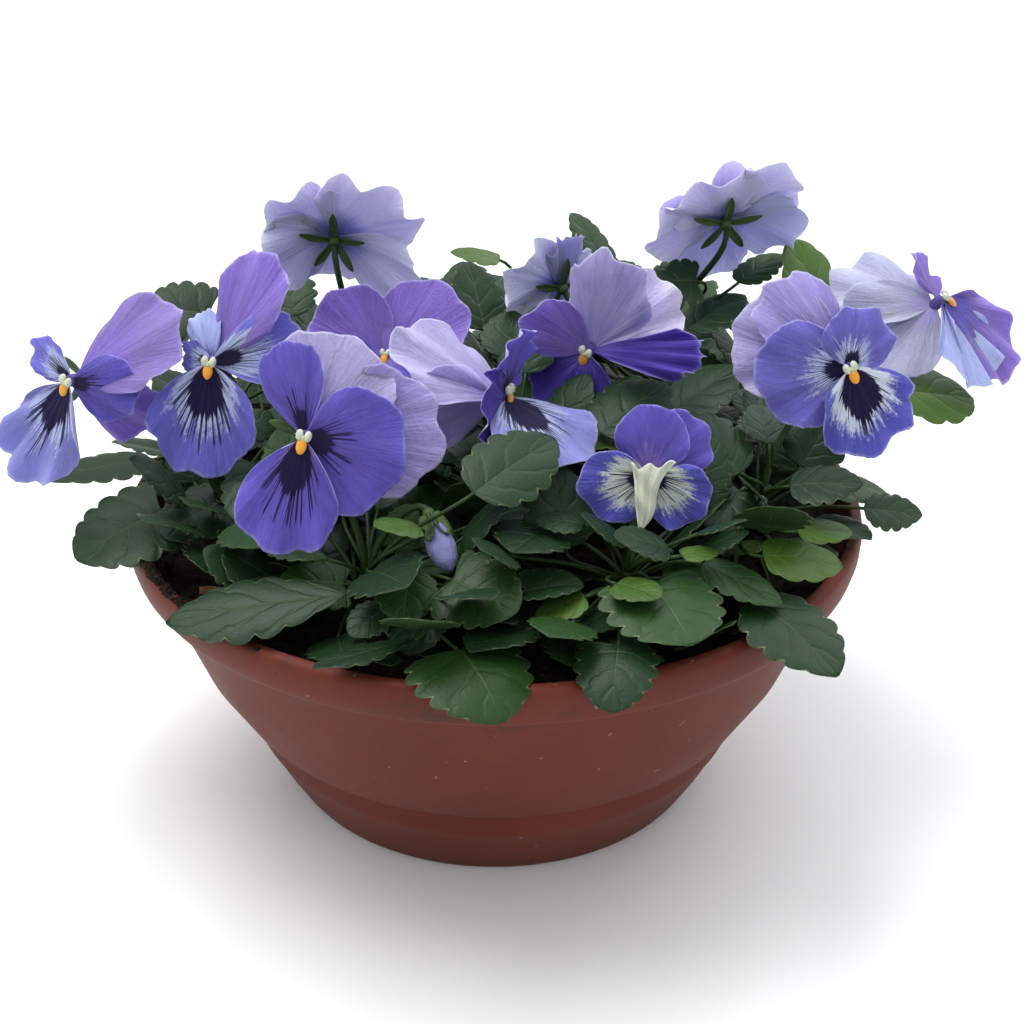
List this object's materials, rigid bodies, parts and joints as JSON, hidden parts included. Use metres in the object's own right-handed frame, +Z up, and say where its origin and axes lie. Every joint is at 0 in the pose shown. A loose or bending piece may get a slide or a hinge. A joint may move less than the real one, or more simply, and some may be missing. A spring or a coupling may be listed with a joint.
{
  "type": "potted pansy planter",
  "caption": "Shallow round bowl planter with a collared rim and stepped foot, filled with compost and planted with leafy pansy shoots in violet-blue bloom.",
  "frame": {"origin": "on the bowl's axis, at the surface that the planter stands on", "axes": "+Z up, +X to the right and -Y towards the front of the planter; the front is the side that most blooms face"},
  "size_m": [0.3765, 0.2941, 0.2353],
  "materials": {
    "pot_plastic": "matt red-brown, worn and soil-stained",
    "compost": "matt, dark and crumbly",
    "foliage": "satin dark green, lighter along the veins",
    "petals": "velvety violet-blue",
    "eye": "matt orange-yellow"
  },
  "bodies": {
    "root": {"bloom_back": "petals", "bloom_centre": "petals", "bloom_centre_left": "petals", "bloom_centre_right": "petals", "bloom_far_left": "petals", "bloom_far_right": "petals", "bloom_front": "petals", "bloom_left": "petals", "bloom_right": "petals", "bloom_small_front": "petals", "bloom_top_left": "petals", "bloom_top_right": "petals", "bud_front": "petals", "eye_back": "eye", "eye_centre": "eye", "eye_centre_left": "eye", "eye_centre_right": "eye", "eye_far_left": "eye", "eye_far_right": "eye", "eye_front": "eye", "eye_left": "eye", "eye_right": "eye", "eye_small_front": "eye", "eye_top_left": "eye", "eye_top_right": "eye", "pot": "pot_plastic", "shoot_back": "foliage", "shoot_back_left": "foliage", "shoot_back_right": "foliage", "shoot_centre": "foliage", "shoot_far_left": "foliage", "shoot_far_right": "foliage", "shoot_front_left": "foliage", "shoot_front_right": "foliage", "shoot_left": "foliage", "shoot_right": "foliage", "soil": "compost"}
  },
  "joints": []
}
